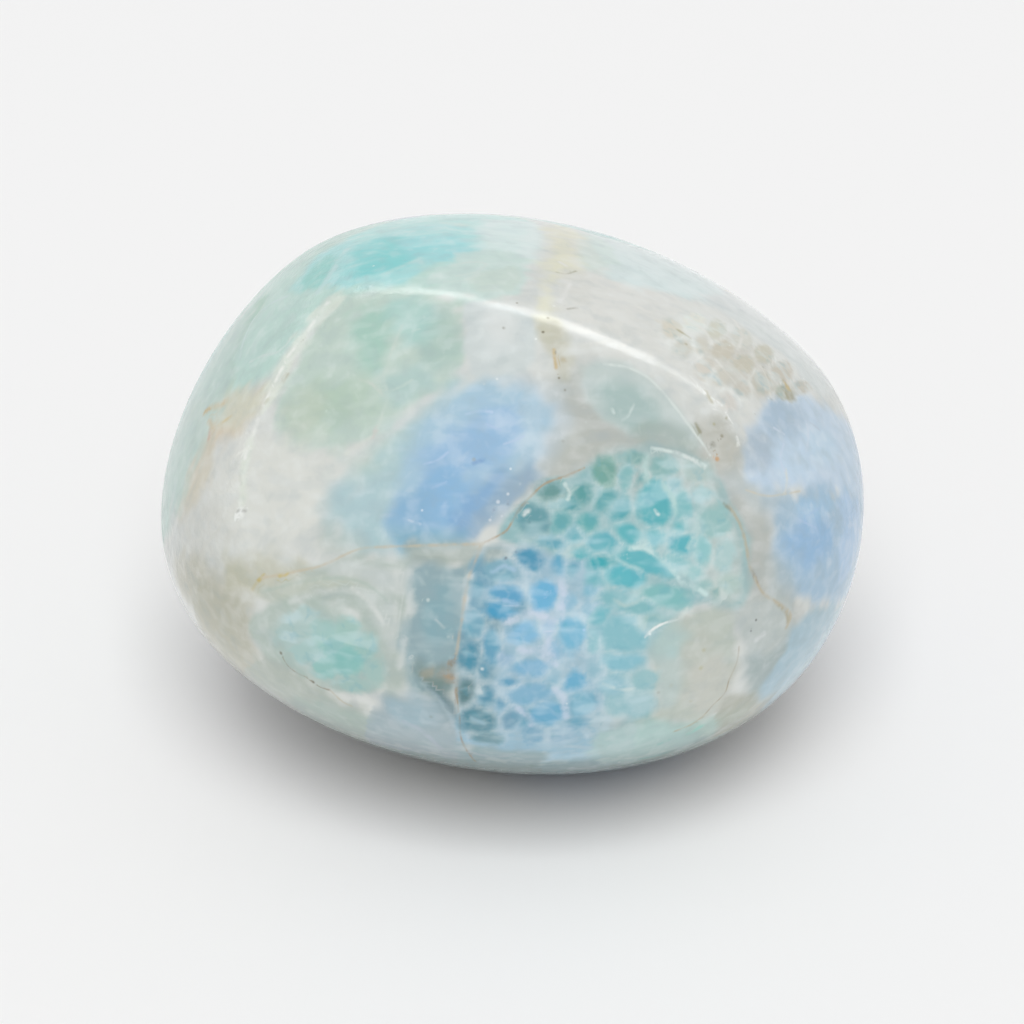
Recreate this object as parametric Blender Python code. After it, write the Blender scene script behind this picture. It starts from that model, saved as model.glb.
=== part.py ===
"""A tumbled stone: one closed pebble with softly worn faces that rests on a small flat spot."""
import math

import bmesh
import bpy
import numpy as np

MM = 0.001

# The egg-like body before wear: half of its width, of its depth and of its height.
BODY_HALF_WIDTH = 19.4 * MM
BODY_HALF_DEPTH = 17.7 * MM
BODY_HALF_HEIGHT = 14.7 * MM

# Worn sides. Each is a shallow dome: the side it looks to in degrees (0 to the front, 90 to the
# right, 180 to the back), its upward tilt in degrees, its distance from the middle, its own radius.
# These four melt into the body with no crest.
FRONT_SIDE = (-1.5, 42.0, 13.1 * MM, 33.4 * MM)
UNDER_SIDE = (-28.0, -69.7, 13.55 * MM, 35.8 * MM)
RIGHT_SIDE = (103.0, -1.7, 18.4 * MM, 19.2 * MM)
BACK_SIDE = (-160.0, -8.0, 17.4 * MM, 22.0 * MM)
MELTED_SIDES = (FRONT_SIDE, UNDER_SIDE, RIGHT_SIDE, BACK_SIDE)

# These three meet the body in a crisp crest: the long one over the top, the left one, the right one.
TOP_FACE = (100.7, 77.9, 12.8 * MM, 25.7 * MM)
LEFT_FACE = (-64.7, 55.5, 15.05 * MM, 22.6 * MM)
UPPER_RIGHT_FACE = (65.0, 53.7, 14.4 * MM, 30.2 * MM)
CREST_FACES = (TOP_FACE, LEFT_FACE, UPPER_RIGHT_FACE)

# How crisp two surfaces meet: a higher number leaves less rounding.
MELT_CRISPNESS = 10.0
CREST_CRISPNESS = 70.0

# The flat spot the stone rests on lies this far below the middle of the body.
RESTING_DEPTH = 13.0 * MM

# The ball the stone is shaped from.
BALL_SUBDIVISIONS = 5

STONE_COLOUR = (0.62, 0.76, 0.76, 1.0)
STONE_ROUGHNESS = 0.18


def looking(azimuth, tilt):
    """Unit vector of a side: azimuth from the front toward the right, tilt upward, in degrees."""
    a = math.radians(azimuth)
    t = math.radians(tilt)
    return np.array([math.sin(a) * math.cos(t), -math.cos(a) * math.cos(t), math.sin(t)])


def dome_reach(directions, side):
    """Distance from the middle to one shallow dome: where a ray from inside its ball leaves it."""
    azimuth, tilt, distance, radius = side
    along = directions @ looking(azimuth, tilt)
    inset = radius - distance
    return -inset * along + np.sqrt(inset ** 2 * (along ** 2 - 1.0) + radius ** 2)


def soft_smallest(rows, crispness):
    """Smallest of several distances, rounded over where two of them are nearly the same."""
    rows = np.array(rows)
    nearest = rows.min(axis=0)
    return nearest * np.sum((rows / nearest) ** -crispness, axis=0) ** (-1.0 / crispness)


def surface_reaches(directions):
    """Distances from the middle to the melted body and to the three faces with a crest."""
    half = np.array([BODY_HALF_WIDTH, BODY_HALF_DEPTH, BODY_HALF_HEIGHT])
    egg = 1.0 / np.sqrt(np.sum((directions / half) ** 2, axis=1))
    melted = [egg] + [dome_reach(directions, side) for side in MELTED_SIDES]
    body = soft_smallest(melted, MELT_CRISPNESS)
    return [body] + [dome_reach(directions, side) for side in CREST_FACES]


def stone_reach(directions):
    """Distance from the middle to the stone's skin."""
    return soft_smallest(surface_reaches(directions), CREST_CRISPNESS)


def unit_vectors(verts):
    """Direction of every vertex from the middle."""
    points = np.array([tuple(v.co) for v in verts])
    return points / np.linalg.norm(points, axis=1, keepdims=True)


def split_crest_edges(bm):
    """Adds a vertex on every edge whose two ends lie on different surfaces, to keep crests crisp."""
    bm.verts.index_update()
    owner = np.array(surface_reaches(unit_vectors(bm.verts))).argmin(axis=0)
    crossing = [e for e in bm.edges if owner[e.verts[0].index] != owner[e.verts[1].index]]
    bmesh.ops.subdivide_edges(bm, edges=crossing, cuts=1, use_grid_fill=False)
    bmesh.ops.triangulate(bm, faces=bm.faces[:])


def build_stone():
    bpy.ops.mesh.primitive_ico_sphere_add(subdivisions=BALL_SUBDIVISIONS, radius=1.0)
    stone = bpy.context.active_object
    stone.name = "stone"
    stone.data.name = "stone"

    bm = bmesh.new()
    bm.from_mesh(stone.data)
    split_crest_edges(bm)
    directions = unit_vectors(bm.verts)
    points = directions * stone_reach(directions)[:, None]
    for vert, point in zip(bm.verts, points):
        vert.co = point

    # The resting spot is ground flat.
    geometry = bm.verts[:] + bm.edges[:] + bm.faces[:]
    bmesh.ops.bisect_plane(bm, geom=geometry, dist=1e-7, plane_co=(0.0, 0.0, -RESTING_DEPTH),
                           plane_no=(0.0, 0.0, -1.0), clear_outer=True)
    rim = [e for e in bm.edges if e.is_boundary]
    bmesh.ops.holes_fill(bm, edges=rim, sides=0)
    bmesh.ops.triangulate(bm, faces=bm.faces[:])
    bmesh.ops.recalc_face_normals(bm, faces=bm.faces[:])

    # The stone stands on the ground, with its box centred over the origin.
    low = np.array([tuple(v.co) for v in bm.verts]).min(axis=0)
    high = np.array([tuple(v.co) for v in bm.verts]).max(axis=0)
    shift = (-(low[0] + high[0]) / 2.0, -(low[1] + high[1]) / 2.0, RESTING_DEPTH)
    bmesh.ops.translate(bm, verts=bm.verts[:], vec=shift)
    bm.to_mesh(stone.data)
    bm.free()

    for polygon in stone.data.polygons:
        polygon.use_smooth = True
    return stone


def stone_material():
    material = bpy.data.materials.new("polished_stone")
    material.use_nodes = True
    shader = material.node_tree.nodes["Principled BSDF"]
    shader.inputs["Base Color"].default_value = STONE_COLOUR
    shader.inputs["Roughness"].default_value = STONE_ROUGHNESS
    shader.inputs["Metallic"].default_value = 0.0
    material.diffuse_color = STONE_COLOUR
    return material


for existing in list(bpy.data.objects):
    bpy.data.objects.remove(existing, do_unlink=True)

collection = bpy.data.collections.new("tumbled_stone")
bpy.context.scene.collection.children.link(collection)

stone = build_stone()
stone.data.materials.append(stone_material())
for holder in list(stone.users_collection):
    holder.objects.unlink(stone)
collection.objects.link(stone)
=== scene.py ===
import math

import bpy
import numpy as np
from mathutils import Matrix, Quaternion, Vector


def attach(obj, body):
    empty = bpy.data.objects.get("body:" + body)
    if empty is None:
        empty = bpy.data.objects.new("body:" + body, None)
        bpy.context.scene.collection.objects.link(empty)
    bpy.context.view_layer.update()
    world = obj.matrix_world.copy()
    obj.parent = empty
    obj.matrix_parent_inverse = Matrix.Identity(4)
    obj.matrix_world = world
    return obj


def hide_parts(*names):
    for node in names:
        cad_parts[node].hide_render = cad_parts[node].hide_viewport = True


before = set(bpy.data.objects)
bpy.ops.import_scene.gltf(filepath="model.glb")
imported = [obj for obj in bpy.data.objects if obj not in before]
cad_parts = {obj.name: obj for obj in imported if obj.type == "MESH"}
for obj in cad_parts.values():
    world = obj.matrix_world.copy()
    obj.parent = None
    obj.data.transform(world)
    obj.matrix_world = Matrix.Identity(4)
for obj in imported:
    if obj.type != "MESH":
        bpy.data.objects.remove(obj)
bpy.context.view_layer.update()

MM = 0.001

# The camera looks down at the stone from the front at 30 degrees. One millimetre at the stone's
# middle covers 20 pixels of the 1024 pixel wide picture.
PICTURE_SIDE = 1024.0
PIXELS_PER_MM = 20.0
LOOK_DOWN = math.radians(30.0)
CAMERA_DISTANCE = 142.2 * MM
# Where the stone's middle is seen in the picture, in pixels from the left and from the top.
MIDDLE_SEEN = np.array([513.0, 494.0])

to_camera = np.array([0.0, -math.cos(LOOK_DOWN), math.sin(LOOK_DOWN)])
picture_right = np.array([1.0, 0.0, 0.0])
picture_up = np.array([0.0, math.sin(LOOK_DOWN), math.cos(LOOK_DOWN)])
aim = MM / PIXELS_PER_MM * (picture_right * (PICTURE_SIDE / 2 - MIDDLE_SEEN[0])
                            + picture_up * (MIDDLE_SEEN[1] - PICTURE_SIDE / 2))
eye = aim + to_camera * CAMERA_DISTANCE      # measured from the stone's middle

# The stone: one pebble of mottled, slightly see-through mineral, worn round in a tumbler and
# polished. Its skin is a distance from the middle for every direction: an egg-like body that
# four shallow domes melt into, cut by three flatter faces that meet it in a crisp crest.
BODY_HALF_LENGTHS = np.array([19.4, 17.7, 14.7]) * MM      # across, front to back, up
# Each side: where it looks (degrees from the front to the right, degrees upward), its distance
# from the middle and its own radius, in millimetres.
MELTED_SIDES = ((-1.5, 42.0, 13.1, 33.4), (-28.0, -69.7, 13.55, 35.8),
                (103.0, -1.7, 18.4, 19.2), (-160.0, -8.0, 17.4, 22.0))
CREST_FACES = ((100.7, 77.9, 12.8, 25.7), (-64.7, 55.5, 15.05, 22.6), (65.0, 53.7, 14.4, 30.2))
MELT_CRISPNESS = 10.0
CREST_CRISPNESS = 70.0
RESTING_DEPTH = 13.0 * MM


def looking(azimuth, tilt):
    """Unit vector of a side: azimuth from the front toward the right, tilt upward, in degrees."""
    a, t = math.radians(azimuth), math.radians(tilt)
    return np.array([math.sin(a) * math.cos(t), -math.cos(a) * math.cos(t), math.sin(t)])


def unit(vectors):
    """Vectors divided by their lengths."""
    return vectors / np.linalg.norm(vectors, axis=-1, keepdims=True)


def dome_reach(directions, side):
    """Where a ray from inside a ball leaves it: the root of the ball's own distance equation."""
    azimuth, tilt, distance, radius = side
    along = directions @ looking(azimuth, tilt)
    inset = (radius - distance) * MM
    return -inset * along + np.sqrt(inset ** 2 * (along ** 2 - 1.0) + (radius * MM) ** 2)


def soft_smallest(rows, crispness):
    """Smallest of several distances: the negative power mean without its average."""
    rows = np.array(rows)
    nearest = rows.min(axis=0)
    return nearest * np.sum((rows / nearest) ** -crispness, axis=0) ** (-1.0 / crispness)


def surface_reaches(directions):
    """Distances to the melted body and to the three crest faces, along unit directions."""
    egg = 1.0 / np.sqrt(np.sum((directions / BODY_HALF_LENGTHS) ** 2, axis=1))
    body = soft_smallest([egg] + [dome_reach(directions, s) for s in MELTED_SIDES], MELT_CRISPNESS)
    return [body] + [dome_reach(directions, s) for s in CREST_FACES]


def stone_skin(directions):
    """Point of the skin along unit directions: direction times the soft smallest reach, and no
    lower than the flat resting spot."""
    reach = soft_smallest(surface_reaches(directions), CREST_CRISPNESS)
    falling = directions[:, 2] < -0.5
    reach[falling] = np.minimum(reach[falling], -RESTING_DEPTH / directions[falling, 2])
    return directions * reach[:, None]


def globe_directions(latitudes, longitudes):
    """Unit directions of a globe grid, one row per latitude: (sin a cos t, -cos a cos t, sin t)."""
    t, a = np.meshgrid(np.radians(latitudes), np.radians(longitudes), indexing="ij")
    return np.stack([np.sin(a) * np.cos(t), -np.cos(a) * np.cos(t), np.sin(t)], axis=-1).reshape(-1, 3)


def globe_faces(around, rows):
    """Faces of a globe grid: quads between its rows, and a fan of triangles at each pole."""
    row, col = np.meshgrid(np.arange(rows - 1), np.arange(around), indexing="ij")
    nxt = (col + 1) % around
    quads = np.stack([row * around + col, row * around + nxt, (row + 1) * around + nxt,
                      (row + 1) * around + col], axis=-1).reshape(-1, 4)
    ring = np.arange(around)
    last = (rows - 1) * around
    low = np.stack([np.full(around, rows * around), (ring + 1) % around, ring], axis=-1)
    high = np.stack([np.full(around, rows * around + 1), last + ring,
                     last + (ring + 1) % around], axis=-1)
    return quads.tolist() + low.tolist() + high.tolist()


# The grid is finer on the front, where the markings are small, and coarser near its poles.
FRONT_COLUMNS, BACK_COLUMNS = 262, 116
LOW_ROWS, MAIN_ROWS, HIGH_ROWS = 24, 206, 14
longitudes = np.concatenate([np.linspace(-80, 80, FRONT_COLUMNS, endpoint=False),
                             np.linspace(80, 280, BACK_COLUMNS, endpoint=False)])
latitudes = np.concatenate([np.linspace(-90, -55, LOW_ROWS)[1:-1],
                            np.linspace(-55, 75, MAIN_ROWS),
                            np.linspace(75, 90, HIGH_ROWS)[1:-1]])
directions = np.vstack([globe_directions(latitudes, longitudes), [[0, 0, -1.0]], [[0, 0, 1.0]]])
skin = stone_skin(directions)
middle = np.array([-(skin[:, 0].min() + skin[:, 0].max()) / 2,
                   -(skin[:, 1].min() + skin[:, 1].max()) / 2, RESTING_DEPTH])

mesh = bpy.data.meshes.new("polished_stone")
mesh.from_pydata(skin + middle, [], globe_faces(len(longitudes), len(latitudes)))
mesh.update()
mesh.shade_smooth()
normals = np.empty(len(skin) * 3, np.float32)
mesh.vertices.foreach_get("normal", normals)
normals = normals.reshape(-1, 3)


# Where marks lie. Marks of the front are given by their place in the picture, in pixels, and
# marks of the other sides by the side they look to, in degrees; both become points of the skin.
# A ray is searched between two shares of its way to the stone's middle, at this many places.
SEARCH_FROM, SEARCH_TO, SEARCH_PLACES = 0.84, 1.08, 120
HALVINGS = 14
# A place this far beside the outline is carried round the edge by one radian.
EDGE_CARRY = 15 * MM


def on_front(pixels):
    """Skin points seen at places of the picture: each ray eye + t r is followed until its height
    over the skin is 0. A place outside the outline is carried on round the edge, as far as its ray
    passes over the skin."""
    places = np.asarray(pixels, float).reshape(-1, 2)
    off = (places - PICTURE_SIDE / 2) * MM / PIXELS_PER_MM
    ray = -to_camera * CAMERA_DISTANCE + off[:, :1] * picture_right - off[:, 1:] * picture_up

    def height(points):
        """Height over the skin: the distance from the middle less the reach of the skin."""
        reach = soft_smallest(surface_reaches(unit(points)), CREST_CRISPNESS)
        return np.linalg.norm(points, axis=1) - reach

    steps = np.linspace(SEARCH_FROM, SEARCH_TO, SEARCH_PLACES)
    path = eye + steps[None, :, None] * ray[:, None, :]
    over = height(path.reshape(-1, 3)).reshape(path.shape[:2])
    hit = (over < 0).any(axis=1)
    first = np.where(hit, np.maximum((over < 0).argmax(axis=1), 1), over.argmin(axis=1))
    near, far = steps[first - 1].copy(), steps[first].copy()
    for _ in range(HALVINGS):
        half = (near + far) / 2
        inside = height(eye + half[:, None] * ray) < 0
        near, far = np.where(inside, near, half), np.where(inside, half, far)
    found = unit(eye + far[:, None] * ray)
    carry = np.where(hit, 0.0, over.min(axis=1) / EDGE_CARRY)[:, None]
    away = unit(-to_camera + (found @ to_camera)[:, None] * found)
    return stone_skin(unit(found * np.cos(carry) + away * np.sin(carry)))


def on_sides(degrees):
    """Skin points in given directions, each an azimuth from the front to the right and a tilt."""
    return stone_skin(np.array([looking(a, t) for a, t in np.asarray(degrees, float).reshape(-1, 2)]))


def smooth_line(knots, closed, steps=4):
    """Points along a smooth line through knots: the Catmull-Rom cubic between each pair."""
    k = len(knots)
    if k < 2:
        return knots
    at = np.arange(k if closed else k - 1)
    pick = (lambda i: knots[i % k]) if closed else (lambda i: knots[np.clip(i, 0, k - 1)])
    p0, p1, p2, p3 = pick(at - 1), pick(at), pick(at + 1), pick(at + 2)
    square, cube = 2 * p0 - 5 * p1 + 4 * p2 - p3, 3 * (p1 - p2) + p3 - p0
    rows = [p1 + 0.5 * s * (p2 - p0 + s * (square + s * cube)) for s in np.arange(steps) / steps]
    line = np.stack(rows, axis=1).reshape(-1, 3)
    return np.vstack([line, knots[:1] if closed else knots[-1:]])


def to_line(points, line):
    """Vector from each point to the nearest point of a line: the shortest over its pieces."""
    best = np.full(len(points), np.inf)
    offset = np.repeat(line[:1], len(points), axis=0) - points
    for a, b in zip(line[:-1], line[1:]):
        step = b - a
        share = np.clip(((points - a) @ step) / (step @ step + 1e-18), 0, 1)
        gap = a + share[:, None] * step - points
        length = np.einsum("ij,ij->i", gap, gap)
        closer = length < best
        best[closer] = length[closer]
        offset[closer] = gap[closer]
    return offset


def flat_map(vectors, centre):
    """Flat map of directions about a centre: the angle from it, laid off along the bearing."""
    side = unit(np.cross(centre, picture_up + 0.01))
    flat = np.stack([vectors @ side, vectors @ np.cross(centre, side)], axis=1)
    angle = np.arccos(np.clip(vectors @ centre, -1, 1))
    return flat * (angle / np.maximum(np.linalg.norm(flat, axis=1), 1e-9))[:, None]


def inside_outline(flat, outline):
    """Whether points of a flat map lie inside a closed outline: an odd number of crossings."""
    x, y = flat.T
    odd = np.zeros(len(flat), bool)
    for (ax, ay), (bx, by) in zip(outline, np.roll(outline, -1, axis=0)):
        if ay != by:
            odd ^= ((ay > y) != (by > y)) & (x < ax + (bx - ax) * (y - ay) / (by - ay))
    return odd


def cloud(size, seed):
    """Smooth wandering value of the skin, about -1 to 1: a sum of sines of all directions, with
    wavelengths near the given size in millimetres."""
    count = 22
    source = np.random.default_rng(seed)
    aims = unit(source.normal(size=(count, 3))) * 2 * math.pi
    waves = aims / (size * MM * source.uniform(0.6, 1.6, (count, 1)))
    starts = source.uniform(0, 2 * math.pi, count)
    return np.sin(skin @ waves.T + starts).sum(axis=1) / math.sqrt(count)


def fade(low, high, value):
    """Smooth step from 0 at low to 1 at high: x x (3 - 2 x)."""
    x = np.clip((value - low) / (high - low), 0, 1)
    return x * x * (3 - 2 * x)


def light(colour):
    """Screen colour of 0 to 255 as linear light."""
    c = np.asarray(colour, float) / 255
    return np.where(c < 0.04045, c / 12.92, ((c + 0.055) / 1.055) ** 2.4)


MILKY_WHITE = (213, 216, 212)
wander = {4: cloud(4.0, 3), 2: cloud(1.8, 5), 1: cloud(0.8, 7)}
ground = np.repeat(light(MILKY_WHITE)[None], len(skin), axis=0)


def lay(colour, share):
    """Lays a colour over the ground with a share from 0 to 1."""
    ground[:] += (light(colour) - ground) * share[:, None]


# Skin this far past a patch's outline is measured too, for its wandering edge.
PATCH_MARGIN = 1 * MM


def patch(place, colour, strength, soft, wobble, knots):
    """Lays a colour inside a closed outline: soft and wobble in pixels tell how gradual its edge
    is and how far it wanders."""
    line = smooth_line(place(knots), True)
    heart = line.mean(axis=0)
    centre = unit(heart)
    reach = np.linalg.norm(line - heart, axis=1).max() + 2 * soft * MM / PIXELS_PER_MM + PATCH_MARGIN
    some = np.flatnonzero(np.linalg.norm(skin - heart, axis=1) < reach)
    depth = np.linalg.norm(to_line(skin[some], line), axis=1)
    within = inside_outline(flat_map(directions[some], centre), flat_map(unit(line[:-1]), centre))
    depth = np.where(within, depth, -depth) * PIXELS_PER_MM / MM
    depth += wobble * (0.6 * wander[4][some] + 0.7 * wander[2][some] + 0.6 * wander[1][some])
    share = np.zeros(len(skin))
    share[some] = strength * fade(-soft, soft, depth)
    lay(colour, share)


# A cell is measured out to this many of its half axes, a line to this many of its half widths.
CELL_SURROUND = 2.2
LINE_SURROUND = 7


def ellipse_gap(place, x, y, half_width, half_height, turn):
    """How many millimetres skin points lie outside a small ellipse: (r - 1) times its mean radius,
    where r is the radius in units of the ellipse's two half axes. Also which points were measured."""
    c, s = math.cos(math.radians(turn)), math.sin(math.radians(turn))
    spots = np.array([(x, y), (x + half_width * c, y + half_width * s),
                      (x - half_height * s, y + half_height * c)])
    centre, end_a, end_b = place(spots)
    a, b = end_a - centre, end_b - centre
    long_a, long_b = np.linalg.norm(a), np.linalg.norm(b)
    some = np.flatnonzero(np.linalg.norm(skin - centre, axis=1) < CELL_SURROUND * max(long_a, long_b))
    q = skin[some] - centre
    turned = np.linalg.inv(np.array([[a @ a, a @ b], [a @ b, b @ b]])) @ np.array([q @ a, q @ b])
    size = math.sqrt(long_a * long_b)
    return some, (np.linalg.norm(turned, axis=0) - 1) * size / MM


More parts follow.
